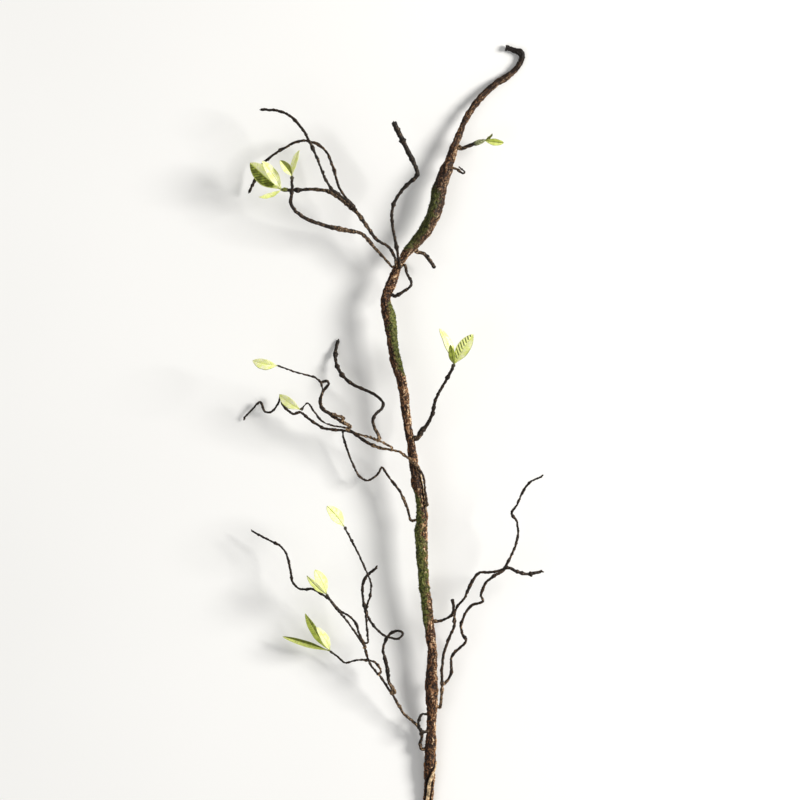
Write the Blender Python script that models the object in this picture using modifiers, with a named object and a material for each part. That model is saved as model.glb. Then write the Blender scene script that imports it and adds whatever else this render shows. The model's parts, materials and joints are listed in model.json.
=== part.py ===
# Willow twig: a crooked main stem with thin side twigs bound on to it and
# green leaf shoots on the twigs' ends, lying on a flat surface.
#
# Bench frame, in millimetres: the origin is the middle of the cut end, x runs
# to the right, y runs along the stem to its hooked tip, and z is the height
# above the surface that the twig lies on. One empty carries every piece and
# puts the finished twig's origin at the bottom centre of its bounding box.
import math

import bmesh
import bpy
from mathutils import Euler, Vector
from mathutils.geometry import intersect_point_line

MM = 0.001

STEM_STEP = 18.0  # distance between the stem's rings
TWIG_STEP = 11.0  # distance between a twig's rings
STEM_BEVEL = 4  # a 12-sided stem
TWIG_BEVEL = 1  # 6-sided twigs
SEAT_GAP = 0.5  # between a twig's foot and the wood that it is bound to
SHOOT_GAP = 0.4  # between a twig's end and its shoot, and a shoot and its leaves

LEAF_THICKNESS = 0.7
LEAF_STALK_WIDTH = 1.0
LEAF_WIDEST_AT = 0.5  # share of the leaf's length
LEAF_STALK_DRAW = 1.4  # 1 is a round start, and more draws the leaf out towards its stalk
LEAF_TIP_DRAW = 0.7  # 0.5 is a round tip, and 1 is a pointed one
LEAF_ARCH = 0.06  # height of the arch, as a share of the leaf's length
LEAF_FOLD = 0.35  # rise to each side of the midrib, as a share of the distance from it
LEAF_CELLS_ALONG = 7
LEAF_CELLS_ACROSS = 2
LEAF_CLEAR_OF_SHOOT = 2.2  # how far a leaf's stalk starts from its shoot's end

# Stations up the main stem: x, y, z, radius.
MAIN_STEM = [
    (0, 0, 6.8, 6.8), (0.5, 25, 8, 6.3), (2, 52, 10, 7.3), (3, 75, 12.5, 8.0),
    (3.5, 98, 15, 7.1), (4.5, 127, 18.5, 5.9), (5, 142, 20, 7.4), (5, 168, 23, 8.7),
    (5, 198, 26, 7.2), (5.5, 220, 28.5, 6.0), (3, 238, 30, 6.7), (1, 256, 31.5, 6.4),
    (-1, 278, 33.5, 6.9), (-4.5, 300, 35, 6.5), (-7, 335, 37.5, 6.7), (-9, 370, 39, 8.4),
    (-8, 390, 40, 7.8), (-10, 420, 41.5, 6.1), (-14.5, 437, 42, 7.4), (-16, 450, 42, 6.8),
    (-18.5, 463, 42, 5.6), (-22.5, 492, 42, 5.6), (-26, 510, 42, 5.4), (-31, 550, 41.5, 6.5),
    (-34.5, 570, 41, 6.2), (-40, 588, 40.5, 7.2), (-44.5, 608, 40, 6.5), (-50.5, 650, 39, 8.2),
    (-54.5, 667, 38, 7.2), (-53.5, 680, 37, 6.0), (-48.5, 693, 36, 6.9), (-43.5, 706, 35.5, 6.5),
    (-40, 716, 35, 5.2), (-34.5, 724, 35, 5.1), (-28, 734, 35, 5.9), (-18.5, 744.5, 35, 6.8),
    (-5, 760.5, 34.5, 7.9), (5, 778.5, 33.5, 8.6),
    (11.5, 797, 32, 9.4), (14.5, 815, 30.5, 9.4), (20, 832, 29, 8.6), (27, 850, 26.5, 7.0),
    (33, 868, 24, 5.4), (37.5, 882, 22, 5.0), (43.5, 896, 19.5, 3.9), (51, 911, 17, 4.0),
    (62, 929, 14, 4.5), (75, 943, 11, 4.4), (88.5, 955, 8.8, 5.0), (100, 962, 7.2, 4.3),
    (111, 970.5, 6, 4.0), (119.5, 981, 4.9, 4.0), (122.5, 989, 4.3, 4.1), (119, 996, 4.0, 4.0),
    (110, 999, 4.2, 3.9), (100.5, 1001.5, 5.0, 3.7),
]

# Each twig: the piece that it grows on, its radius at the foot, in the middle
# and at the tip, and the points that it passes, from foot to tip. The foot
# itself is worked out: it sits on the carrier's surface. "ends_on" names a
# piece that the far end is bound to as well.
TWIGS = {
    "low_left_bough": {
        "on": "main_stem",
        "radii": (2.3, 1.4, 1.4),
        "route": [
            (-8.5, 91, 14), (-10.5, 97.5, 14.5), (-8.5, 107, 15), (-12, 119, 17), (-21, 128, 19),
            (-33, 139, 22), (-43, 157, 26), (-52, 171, 30), (-60, 184, 34), (-75, 203, 40),
            (-79, 215, 43), (-84, 229, 46.5), (-99, 251, 51), (-113, 269, 55), (-123.5, 281.5, 57.5),
            (-129.5, 291, 59.5),
        ],
    },
    "low_left_long_tip": {
        "on": "low_left_bough",
        "radii": (1.5, 1.6, 1.3),
        "route": [
            (-81, 225, 40), (-90, 244, 43), (-93, 254, 45), (-102, 264, 46.5), (-115, 272, 47.5),
            (-126, 285, 48), (-137, 293, 47.5), (-149, 299.5, 46), (-167, 300, 43), (-175, 308.5, 41),
            (-179, 327, 38), (-184, 345.5, 35), (-192, 355, 33), (-207, 362.5, 30), (-228, 374, 26),
        ],
    },
    "low_left_upright": {
        "on": "low_left_bough",
        "radii": (1.3, 1.3, 1.3),
        "route": [
            (-78, 231, 51), (-80, 258, 60), (-79.5, 276, 65), (-74.5, 293, 71), (-73.5, 308, 76),
            (-79, 322, 80), (-87, 340, 84), (-97, 360, 87), (-106.5, 378, 89),
        ],
    },
    "low_left_side_twig": {
        "on": "low_left_bough",
        "radii": (1.4, 1.4, 1.3),
        "route": [
            (-61, 193, 29), (-67, 203, 27), (-77, 207, 25), (-92, 207, 23), (-107, 203, 21),
            (-115, 209, 20.5), (-124.5, 216.5, 21),
        ],
    },
    "low_left_curl": {
        "on": "low_left_bough",
        "radii": (2.3, 1.5, 1.9),
        "route": [
            (-43, 166, 32), (-50, 178, 36), (-53, 200, 41), (-58, 222, 45), (-53, 237, 48),
            (-45, 244, 50.5), (-36, 245.5, 53), (-32.5, 241, 55), (-39, 235.5, 56.5),
            (-50, 237, 56), (-60, 242, 54.5), (-71, 252.5, 52.5), (-80, 269, 50), (-84.5, 287, 48.5),
            (-85, 303, 50), (-81, 315, 54), (-67, 327, 60),
        ],
    },
    "low_left_root_loop": {
        "on": "main_stem",
        "ends_on": "main_stem",
        "radii": (1.6, 1.7, 2.0),
        "route": [(-7.5, 136.5, 23), (-12, 129, 25), (-11.5, 120, 26.5), (-7, 114, 25.5)],
    },
    "low_right_bough": {
        "on": "main_stem",
        "radii": (2.0, 1.7, 2.2),
        "route": [
            (15.8, 146, 22), (17, 158, 24), (18, 172, 26), (18, 192, 29), (20.5, 215, 32),
            (28, 237, 35), (34, 251, 38), (34.5, 264, 41), (38, 277, 44), (46, 286.5, 47),
            (51.5, 299, 50), (58, 312, 53), (66, 321, 55), (78, 321.5, 57), (92, 323.5, 59),
            (103, 327.5, 60), (114, 322.5, 58), (128, 319, 55), (147, 323, 52),
        ],
    },
    "low_right_zigzag": {
        "on": "low_right_bough",
        "radii": (1.9, 1.8, 1.3),
        "route": [
            (22.5, 177, 21.5), (29.5, 188, 20.5), (30, 199, 21.5), (30, 210, 23), (38, 220, 25),
            (49, 231, 27.5), (44, 242, 30), (43, 252, 32), (50, 271, 37), (58, 279.5, 40),
            (71, 283.5, 43), (68.5, 292, 46), (73, 306, 50), (86, 317.5, 52), (97, 324, 52.5),
            (103, 335, 51.5), (112, 354, 50.5), (116.5, 373, 51), (114, 389, 55), (108, 398, 58),
            (115, 409, 62), (121, 423, 68), (131, 438, 74), (146, 445, 80),
        ],
    },
    "low_right_stub": {
        "on": "main_stem",
        "radii": (1.8, 1.7, 2.3),
        "route": [(15, 258, 35), (24, 261.5, 41), (32, 268, 48), (33, 276, 53), (31, 286, 57)],
    },
    "mid_left_bough": {
        "on": "main_stem",
        "radii": (1.5, 1.8, 1.2),
        "route": [
            (-1, 408, 46), (-3.5, 425, 46.5), (-5.5, 443, 47), (-8.5, 450, 49.5), (-14, 457.5, 51.5),
            (-21, 464.5, 51), (-38, 477, 46.5), (-62, 482, 44), (-82, 491.5, 41.5), (-100, 503, 38.5),
            (-118, 505.5, 35.5), (-137, 508.5, 33), (-156, 521, 29.5), (-166, 528.5, 28),
            (-175, 526.5, 26.5), (-187, 535.5, 22), (-192, 551, 18), (-194.5, 539.5, 15.5),
            (-203, 529.5, 13.5), (-212, 529, 12), (-218, 541.5, 10.5), (-228, 532, 8), (-239, 521, 5),
        ],
    },
    "mid_left_peak": {
        "on": "mid_left_bough",
        "radii": (1.5, 1.2, 1.1),
        "route": [
            (-47, 483, 50.5), (-66, 492, 52), (-93, 501, 52.5), (-106, 507.5, 53.5),
            (-124, 511, 56), (-137, 517, 59.5), (-147, 529, 64), (-155, 540, 67), (-162.5, 533.5, 65.5),
        ],
    },
    "mid_left_swan_neck": {
        "on": "mid_left_peak",
        "radii": (2.2, 1.9, 2.3),
        "route": [
            (-63, 496, 57), (-69, 508, 56), (-71.5, 517.5, 53), (-68, 525.5, 50), (-60, 533, 46.5),
            (-58.5, 541, 43.5), (-66, 549, 40), (-82, 557, 35), (-97, 564, 29), (-111, 575.5, 21),
            (-119, 592, 12.5), (-120, 607, 6), (-117, 621, 2.2),
        ],
    },
    "mid_left_hook": {
        "on": "mid_left_peak",
        "radii": (2.3, 1.9, 1.9),
        "route": [
            (-101, 510, 58.5), (-113, 517, 60.5), (-128, 527, 62.5), (-137, 533, 65), (-139.5, 545, 69),
            (-134, 557, 73), (-128, 564, 75.5), (-131, 568.5, 76.5), (-138, 566.5, 76.5),
        ],
    },
    "mid_left_fine_tip": {
        "on": "mid_left_hook",
        "radii": (1.6, 1.1, 1.1),
        "route": [
            (-109, 521, 65), (-120, 524.5, 67.5), (-131, 529.5, 69.5), (-137, 536, 72),
            (-137.5, 548, 76), (-136.5, 560, 81), (-142, 571, 85.5), (-151, 575, 87.5),
            (-170, 580, 89.5), (-190, 587, 90),
        ],
    },
    "mid_left_sling": {
        "on": "main_stem",
        "ends_on": "mid_left_bough",
        "radii": (1.7, 1.5, 1.4),
        "route": [
            (-22.5, 389, 37.5), (-27, 404, 36), (-37, 426, 33), (-50, 443, 29.5), (-60, 456.5, 26.5),
            (-66, 447, 24.5), (-78, 439.5, 22.5), (-88, 444, 22), (-98, 462, 22.5),
            (-106, 483, 25), (-110, 496, 28.5),
        ],
    },
    "mid_right_twig": {
        "on": "main_stem",
        "radii": (3.2, 2.0, 2.0),
        "route": [
            (-13.5, 495, 44.5), (-8, 504, 46.5), (-1, 512, 49), (5.5, 526, 52.5), (9, 542, 57),
            (13.5, 553.5, 60.5), (24, 571, 66), (32, 587, 72),
        ],
    },
    "top_left_bough": {
        "on": "main_stem",
        "radii": (1.7, 2.6, 2.2),
        "route": [
            (-41.5, 718, 42), (-43, 728, 43.5), (-47, 737, 44), (-54, 744, 44.5), (-66, 751, 46),
            (-75, 762, 47), (-88, 781, 49), (-101, 794, 51), (-121, 809, 52.5), (-131, 814, 52.5),
            (-152, 816, 51), (-166, 815, 50), (-182, 815.5, 48),
        ],
    },
    "top_left_high_arc": {
        "on": "top_left_bough",
        "radii": (1.8, 1.5, 1.9),
        "route": [
            (-93, 790, 57), (-106, 802, 60.5), (-125, 817, 65), (-133, 830, 67), (-142, 852, 69.5),
            (-152, 875, 70), (-163, 895, 68), (-174, 907, 65.5), (-190, 916, 62), (-216, 919, 58),
        ],
    },
    "top_left_low_arc": {
        "on": "top_left_bough",
        "radii": (1.8, 1.6, 1.8),
        "route": [
            (-96, 795, 43.5), (-107, 806, 42), (-115, 819, 40.5), (-121, 840, 38.5), (-129, 861, 36.5),
            (-141, 874, 35), (-159, 880, 33), (-176, 876, 31), (-190, 868.5, 29), (-212, 853, 24),
            (-222, 836, 18), (-232, 814, 12),
        ],
    },
    "top_left_elbow": {
        "on": "main_stem",
        "radii": (1.4, 2.8, 2.0),
        "route": [
            (-47.5, 717, 39), (-56, 727, 39.5), (-70, 742, 41), (-85, 758.5, 43), (-108, 763.5, 46),
            (-132, 769, 49.5), (-157, 778, 54), (-172, 789, 58), (-177, 799, 61), (-175.5, 815, 66),
            (-175.5, 829, 70),
        ],
    },
    "top_club": {
        "on": "main_stem",
        "radii": (1.8, 2.2, 3.6),
        "route": [
            (-36, 715, 43), (-37.5, 725, 44.5), (-39.5, 736, 46.5), (-42.5, 752, 50), (-47, 776, 54),
            (-44, 798, 58), (-32, 817, 62), (-19, 829, 64.5), (-14, 837, 66), (-20, 852, 69),
            (-35, 882, 75), (-44, 901, 80),
        ],
    },
    "top_right_drop": {
        "on": "main_stem",
        "radii": (2.4, 2.5, 2.6),
        "route": [
            (-13.5, 735.5, 31.5), (-6.5, 734, 31), (-1.5, 730, 29.5), (3.5, 723, 27.5),
            (8.5, 715.5, 25),
        ],
    },
    "top_right_link": {
        "on": "main_stem",
        "ends_on": "main_stem",
        "radii": (1.9, 1.8, 2.4),
        "route": [
            (-29, 717, 37.5), (-27.5, 708, 38.5), (-22, 698, 39.5), (-23, 691, 39.5),
            (-31, 685, 39), (-42, 678.5, 38),
        ],
    },
    "crown_leaf_twig": {
        "on": "main_stem",
        "radii": (2.4, 2.6, 2.5),
        "route": [(45, 870, 26.5), (53, 873.5, 29), (60.5, 876, 31)],
    },
    "crown_curl": {
        "on": "main_stem",
        "radii": (1.5, 1.2, 1.1),
        "route": [(38, 842.5, 28), (45, 837.5, 30), (47.5, 839.5, 33.5), (40, 845.5, 35.5)],
    },
}

# Each shoot: the twig that it ends, its length, and its leaves. A leaf is its
# heading in plan, its rise above the horizontal and its roll about its own
# midrib, in degrees, then its length and width.
SHOOTS = {
    "crown": {
        "on": "crown_leaf_twig",
        "length": 13,
        "leaves": [(-8, 6, 14, 23, 9), (38, 30, 55, 13, 5)],
    },
    "top_left": {
        "on": "top_left_bough",
        "length": 7,
        "leaves": [(140, 8, -12, 51, 24), (124, 40, 20, 54, 14), (200, 20, -50, 30, 9)],
    },
    "elbow": {
        "on": "top_left_elbow",
        "length": 3,
        "leaves": [(127, 18, 20, 24, 12), (75, 14, -35, 33, 9)],
    },
    "mid_right": {
        "on": "mid_right_twig",
        "length": 3,
        "leaves": [(111, 12, 40, 48, 14), (101, 46, -10, 34, 9), (58, 12, -14, 44, 18)],
    },
    "fine_tip": {
        "on": "mid_left_fine_tip",
        "length": 3,
        "leaves": [(170, 8, -30, 31, 16)],
    },
    "mid_left": {
        "on": "mid_left_peak",
        "length": 2.5,
        "leaves": [(145, 6, -30, 31, 15)],
    },
    "upright": {
        "on": "low_left_upright",
        "length": 2.5,
        "leaves": [(129, 10, 30, 33, 18)],
    },
    "low_left": {
        "on": "low_left_bough",
        "length": 2.5,
        "leaves": [(114, 12, 22, 33, 16), (136, 42, -24, 44, 9)],
    },
    "side": {
        "on": "low_left_side_twig",
        "length": 3,
        "leaves": [(163, 4, 0, 62, 8), (124, 12, -30, 57, 12), (116, 44, 30, 46, 12)],
    },
}


def clear_scene():
    for obj in list(bpy.data.objects):
        bpy.data.objects.remove(obj, do_unlink=True)


def material(name, color, roughness):
    made = bpy.data.materials.new(name)
    made.use_nodes = True
    shader = made.node_tree.nodes["Principled BSDF"]
    shader.inputs["Base Color"].default_value = (*color, 1.0)
    shader.inputs["Roughness"].default_value = roughness
    shader.inputs["Metallic"].default_value = 0.0
    return made


def spline_point(before, start, end, after, share):
    """A point on the smooth curve from start to end, which heads for its neighbours."""
    square = share * share
    cube = square * share
    return 0.5 * (
        2 * start
        + (end - before) * share
        + (2 * before - 5 * start + 4 * end - after) * square
        + (3 * start - before - 3 * end + after) * cube
    )


def smooth_line(stations, step):
    """Rings along a smooth curve through 4-number stations: x, y, z and radius."""
    line = [stations[0]]
    for i in range(len(stations) - 1):
        start = stations[i]
        end = stations[i + 1]
        before = stations[i - 1] if i > 0 else 2 * start - end
        after = stations[i + 2] if i + 2 < len(stations) else 2 * end - start
        cells = max(1, round((end - start).xyz.length / step))
        line += [spline_point(before, start, end, after, n / cells) for n in range(1, cells + 1)]
    return line


def seat_on(line, point):
    """Where a piece that heads for the point meets the surface of the wood along the line."""
    nearest = None
    for start, end in zip(line, line[1:]):
        share = intersect_point_line(point, start.xyz, end.xyz)[1]
        axis = start.lerp(end, min(1.0, max(0.0, share)))
        if nearest is None or (point - axis.xyz).length < (point - nearest.xyz).length:
            nearest = axis
    outwards = (point - nearest.xyz).normalized()
    return nearest.xyz + outwards * (nearest.w + SEAT_GAP)


def taper(radii, share):
    """The radius at a share of a twig's length, from its foot, middle and tip radii."""
    foot, middle, tip = radii
    if share < 0.5:
        return foot + (middle - foot) * share * 2
    return middle + (tip - middle) * (share * 2 - 1)


def twig_line(facts, lines):
    """A twig's rings, with its foot, and its far end if it is bound too, on other wood."""
    points = [Vector(p) for p in facts["route"]]
    points.insert(0, seat_on(lines[facts["on"]], points[0]))
    if "ends_on" in facts:
        points.append(seat_on(lines[facts["ends_on"]], points[-1]))
    reach = [0.0]
    for start, end in zip(points, points[1:]):
        reach.append(reach[-1] + (end - start).length)
    stations = [
        Vector((*p, taper(facts["radii"], run / reach[-1]))) for p, run in zip(points, reach)
    ]
    return smooth_line(stations, TWIG_STEP)


def tube(name, line, bevel, finish, carrier, collection):
    """A tube with flat ends along the rings of a line."""
    curve = bpy.data.curves.new(name, "CURVE")
    curve.dimensions = "3D"
    curve.bevel_depth = MM
    curve.bevel_resolution = bevel
    curve.use_fill_caps = True
    spline = curve.splines.new("POLY")
    spline.points.add(len(line) - 1)
    origin = line[0].xyz
    for point, ring in zip(spline.points, line):
        point.co = (*(ring.xyz - origin) * MM, 1.0)
        point.radius = ring.w
    curve.materials.append(finish)
    obj = bpy.data.objects.new(name, curve)
    obj.location = origin * MM
    obj.parent = carrier
    collection.objects.link(obj)
    return obj


def shoot_line(twig, length):
    """The green stalk that carries on from a twig's end, a little wider and then narrower."""
    end = twig[-1]
    heading = (end.xyz - twig[-2].xyz).normalized()
    start = end.xyz + heading * SHOOT_GAP
    profile = ((0.0, 1.15), (0.45, 1.3), (1.0, 0.75))  # share of length, share of the twig's radius
    return [Vector((*(start + heading * length * s), end.w * r)) for s, r in profile]


def leaf_half_width(share, width):
    """Half the leaf's width at a share of its length: a stalk, a belly and a blunt tip."""
    rise = min(1.0, share / LEAF_WIDEST_AT)
    fall = max(0.0, (share - LEAF_WIDEST_AT) / (1 - LEAF_WIDEST_AT))
    belly = math.sin(rise * math.pi / 2) ** LEAF_STALK_DRAW * (1 - fall**2) ** LEAF_TIP_DRAW
    return max(LEAF_STALK_WIDTH / 2, belly * width / 2)


def leaf(name, root, shape, finish, carrier, collection):
    """A thin blade, folded a little along its midrib and curling down to its tip."""
    heading, rise, roll, length, width = shape
    grid = bmesh.new()
    bmesh.ops.create_grid(grid, x_segments=LEAF_CELLS_ALONG, y_segments=LEAF_CELLS_ACROSS, size=1.0)
    for vert in grid.verts:
        share = (vert.co.x + 1) / 2
        across = vert.co.y * leaf_half_width(share, width)
        arch = math.sin(share * math.pi) * length * LEAF_ARCH
        fold = abs(across) * LEAF_FOLD
        vert.co = Vector((share * length, across, arch + fold)) * MM
    mesh = bpy.data.meshes.new(name)
    grid.to_mesh(mesh)
    grid.free()
    mesh.materials.append(finish)
    obj = bpy.data.objects.new(name, mesh)
    turn = Euler((math.radians(roll), -math.radians(rise), math.radians(heading)), "XYZ")
    outwards = turn.to_matrix() @ Vector((1, 0, 0))
    obj.location = (root + outwards * LEAF_CLEAR_OF_SHOOT) * MM
    obj.rotation_euler = turn
    obj.parent = carrier
    collection.objects.link(obj)
    shell = obj.modifiers.new("thickness", "SOLIDIFY")
    shell.thickness = LEAF_THICKNESS * MM
    shell.offset = 0.0
    mesh.shade_smooth()
    return obj


def world_bounds(objects):
    """The lowest and highest corner of the objects as they stand."""
    bpy.context.view_layer.update()
    graph = bpy.context.evaluated_depsgraph_get()
    points = []
    for obj in objects:
        evaluated = obj.evaluated_get(graph)
        mesh = evaluated.to_mesh()
        points += [evaluated.matrix_world @ v.co for v in mesh.vertices]
        evaluated.to_mesh_clear()
    low = Vector(min(p[i] for p in points) for i in range(3))
    high = Vector(max(p[i] for p in points) for i in range(3))
    return low, high


def main():
    clear_scene()
    collection = bpy.data.collections.new("willow_twig")
    bpy.context.scene.collection.children.link(collection)
    carrier = bpy.data.objects.new("twig_frame", None)
    collection.objects.link(carrier)

    stem_bark = material("stem_bark", (0.17, 0.10, 0.065), 0.85)
    twig_bark = material("twig_bark", (0.09, 0.065, 0.055), 0.8)
    shoot_green = material("shoot_green", (0.32, 0.42, 0.12), 0.6)
    leaf_green = material("leaf_green", (0.42, 0.60, 0.10), 0.5)

    lines = {"main_stem": smooth_line([Vector(s) for s in MAIN_STEM], STEM_STEP)}
    pieces = [tube("main_stem", lines["main_stem"], STEM_BEVEL, stem_bark, carrier, collection)]
    for name, facts in TWIGS.items():
        lines[name] = twig_line(facts, lines)
        pieces.append(tube(name, lines[name], TWIG_BEVEL, twig_bark, carrier, collection))
    for place, facts in SHOOTS.items():
        line = shoot_line(lines[facts["on"]], facts["length"])
        pieces.append(tube("shoot_" + place, line, TWIG_BEVEL, shoot_green, carrier, collection))
        for number, shape in enumerate(facts["leaves"], 1):
            name = f"leaf_{place}_{number}"
            pieces.append(leaf(name, line[-1].xyz, shape, leaf_green, carrier, collection))

    low, high = world_bounds(pieces)
    carrier.location = -Vector(((low.x + high.x) / 2, (low.y + high.y) / 2, low.z))


main()
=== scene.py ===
import json
import math

import bmesh
import bpy
import numpy as np
from mathutils import Matrix, Vector


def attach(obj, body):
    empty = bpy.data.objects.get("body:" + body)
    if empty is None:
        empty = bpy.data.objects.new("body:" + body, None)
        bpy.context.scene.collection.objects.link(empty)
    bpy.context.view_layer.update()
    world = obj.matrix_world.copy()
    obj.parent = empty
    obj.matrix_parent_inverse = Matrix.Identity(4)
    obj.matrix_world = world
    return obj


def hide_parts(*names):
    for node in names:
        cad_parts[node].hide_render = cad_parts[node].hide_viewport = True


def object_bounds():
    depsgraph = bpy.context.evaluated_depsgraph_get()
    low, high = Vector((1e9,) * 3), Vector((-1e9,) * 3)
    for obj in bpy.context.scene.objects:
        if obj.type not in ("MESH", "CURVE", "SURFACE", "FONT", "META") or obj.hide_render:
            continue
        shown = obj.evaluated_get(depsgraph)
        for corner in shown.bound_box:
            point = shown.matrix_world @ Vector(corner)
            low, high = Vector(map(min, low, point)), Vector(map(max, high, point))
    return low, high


# A decorative willow twig lying on a pale floor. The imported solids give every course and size,
# and the pieces below grow bark, moss, buds and ribbed leaves along them.

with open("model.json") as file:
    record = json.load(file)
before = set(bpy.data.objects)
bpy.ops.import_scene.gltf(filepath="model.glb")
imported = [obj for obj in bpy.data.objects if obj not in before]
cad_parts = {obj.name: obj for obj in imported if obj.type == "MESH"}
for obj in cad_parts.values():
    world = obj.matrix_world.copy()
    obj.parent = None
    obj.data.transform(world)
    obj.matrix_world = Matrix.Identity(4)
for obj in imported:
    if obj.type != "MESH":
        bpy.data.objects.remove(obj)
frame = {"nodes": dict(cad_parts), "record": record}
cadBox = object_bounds()
scene = bpy.context.scene
mm = 0.001


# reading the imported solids

def mergedNode(nodeName):
    # a welded copy of a node's mesh, as loose triangles can't be walked
    bm = bmesh.new()
    bm.from_mesh(frame["nodes"][nodeName].data)
    bmesh.ops.remove_doubles(bm, verts=bm.verts, dist=2e-6)
    bm.verts.ensure_lookup_table()
    bm.faces.ensure_lookup_table()
    return bm


def flatEnds(bm):
    # the two caps of a tube are its only round flat patches with more than four corners
    seen, caps = set(), []
    for face in bm.faces:
        if face.index in seen:
            continue
        patch, queue = [], [face]
        seen.add(face.index)
        while queue:
            here = queue.pop()
            patch.append(here)
            for edge in here.edges:
                for other in edge.link_faces:
                    if other.index not in seen and other.normal.angle(face.normal, 0) < 0.004:
                        seen.add(other.index)
                        queue.append(other)
        corners = {v for f in patch for v in f.verts}
        if len(corners) > 4:
            reach = [(v.co - middle(corners)).length for v in corners]
            caps.append((max(reach) / min(reach), corners))
    caps.sort(key=lambda cap: cap[0])
    return [cap[1] for cap in caps[:2]]


def middle(verts):
    total = Vector()
    for v in verts:
        total += v.co
    return total / len(verts)


def tubeLine(nodeName, startNear):
    # walks a tube ring by ring from the end nearer to startNear: its centres and radii
    bm = mergedNode(nodeName)
    caps = sorted(flatEnds(bm), key=lambda cap: (middle(cap) - startNear(middle(cap))).length)
    ring, used, centres, radii = set(caps[0]), set(), [], []
    while ring:
        used |= ring
        centre = middle(ring)
        centres.append(centre)
        radii.append(sum((v.co - centre).length for v in ring) / len(ring))
        ring = {e.other_vert(v) for v in ring for e in v.link_edges} - used
    bm.free()
    return np.array([c[:] for c in centres]), np.array(radii)


def smoothRun(points, values, step):
    # a smooth curve through the ring centres, at even steps, with the values carried along
    padded = np.vstack([2 * points[0] - points[1], points, 2 * points[-1] - points[-2]])
    outPoints, outValues = [], []
    for i in range(len(points) - 1):
        a, b, c, d = padded[i:i + 4]
        cells = max(1, int(round(np.linalg.norm(c - b) / step)))
        for n in range(cells):
            t = n / cells
            spot = 0.5 * (2 * b + (c - a) * t + (2 * a - 5 * b + 4 * c - d) * t * t
                          + (3 * b - a - 3 * c + d) * t ** 3)
            outPoints.append(spot)
            outValues.append(values[i] * (1 - t) + values[i + 1] * t)
    outPoints.append(points[-1])
    outValues.append(values[-1])
    return np.array(outPoints), np.array(outValues)


stemMesh = mergedNode("main_stem")
cutEnd = min((middle(cap) for cap in flatEnds(stemMesh)), key=lambda end: end.y)
stemMesh.free()
stemCentres, stemRadii = tubeLine("main_stem", lambda spot: cutEnd)


def nearestOnStem(spot):
    gaps = np.linalg.norm(stemCentres - np.array(spot), axis=1)
    return Vector(stemCentres[int(gaps.argmin())])


# short forms for building node trees

def put(tree, kind, sockets=None, **settings):
    made = tree.nodes.new(kind)
    for key, value in settings.items():
        setattr(made, key, value)
    for key, value in (sockets or {}).items():
        if isinstance(value, bpy.types.NodeSocket):
            tree.links.new(value, made.inputs[key])
        else:
            made.inputs[key].default_value = value
    return made


def calc(tree, operation, *values):
    return put(tree, "ShaderNodeMath", dict(enumerate(values)), operation=operation).outputs[0]


def ease(tree, value, low, high, outLow=0.0, outHigh=1.0):
    sockets = {0: value, 1: low, 2: high, 3: outLow, 4: outHigh}
    return put(tree, "ShaderNodeMapRange", sockets, interpolation_type="SMOOTHSTEP").outputs[0]


def plus(tree, *values):
    made = values[0]
    for value in values[1:]:
        made = calc(tree, "ADD", made, value)
    return made


def times(tree, *values):
    made = values[0]
    for value in values[1:]:
        made = calc(tree, "MULTIPLY", made, value)
    return made


def xyz(tree, x=0.0, y=0.0, z=0.0):
    return put(tree, "ShaderNodeCombineXYZ", {0: x, 1: y, 2: z}).outputs[0]


def vector(tree, operation, first, second):
    return put(tree, "ShaderNodeVectorMath", {0: first, 1: second}, operation=operation).outputs[0]


def scaled(tree, first, share):
    return put(tree, "ShaderNodeVectorMath", {0: first, "Scale": share}, operation="SCALE").outputs[0]


def turnedBy(tree, rotation, extra):
    sockets = {0: rotation, 1: extra}
    return put(tree, "FunctionNodeRotateRotation", sockets, rotation_space="LOCAL").outputs[0]


def noise(tree, vector, scale, detail=2.0, rough=0.5):
    sockets = {"Vector": vector, "Scale": scale, "Detail": detail, "Roughness": rough}
    return put(tree, "ShaderNodeTexNoise", sockets).outputs["Fac"]


def named(tree, name):
    return put(tree, "GeometryNodeInputNamedAttribute", {"Name": name}).outputs["Attribute"]


def store(tree, geometry, name, value):
    sockets = {"Geometry": geometry, "Name": name, "Value": value}
    return put(tree, "GeometryNodeStoreNamedAttribute", sockets).outputs[0]


def newTree(name, floats=(), ints=(), extra=()):
    # a geometry tree with named inputs: geometry first, then sizes, counts and materials
    tree = bpy.data.node_groups.new(name, "GeometryNodeTree")
    faces = tree.interface
    faces.new_socket("Geometry", in_out="INPUT", socket_type="NodeSocketGeometry")
    for title in floats:
        faces.new_socket(title, in_out="INPUT", socket_type="NodeSocketFloat")
    for title in ints:
        faces.new_socket(title, in_out="INPUT", socket_type="NodeSocketInt")
    for title, kind in extra:
        faces.new_socket(title, in_out="INPUT", socket_type=kind)
    faces.new_socket("Geometry", in_out="OUTPUT", socket_type="NodeSocketGeometry")
    return tree, put(tree, "NodeGroupInput").outputs


def closeTree(tree, geometry, material):
    real = put(tree, "GeometryNodeRealizeInstances", {"Geometry": geometry}).outputs[0]
    smooth = put(tree, "GeometryNodeSetShadeSmooth", {"Geometry": real}).outputs[0]
    dressed = put(tree, "GeometryNodeSetMaterial", {"Geometry": smooth, "Material": material})
    put(tree, "NodeGroupOutput", {0: dressed.outputs[0]})
    return tree


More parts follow.
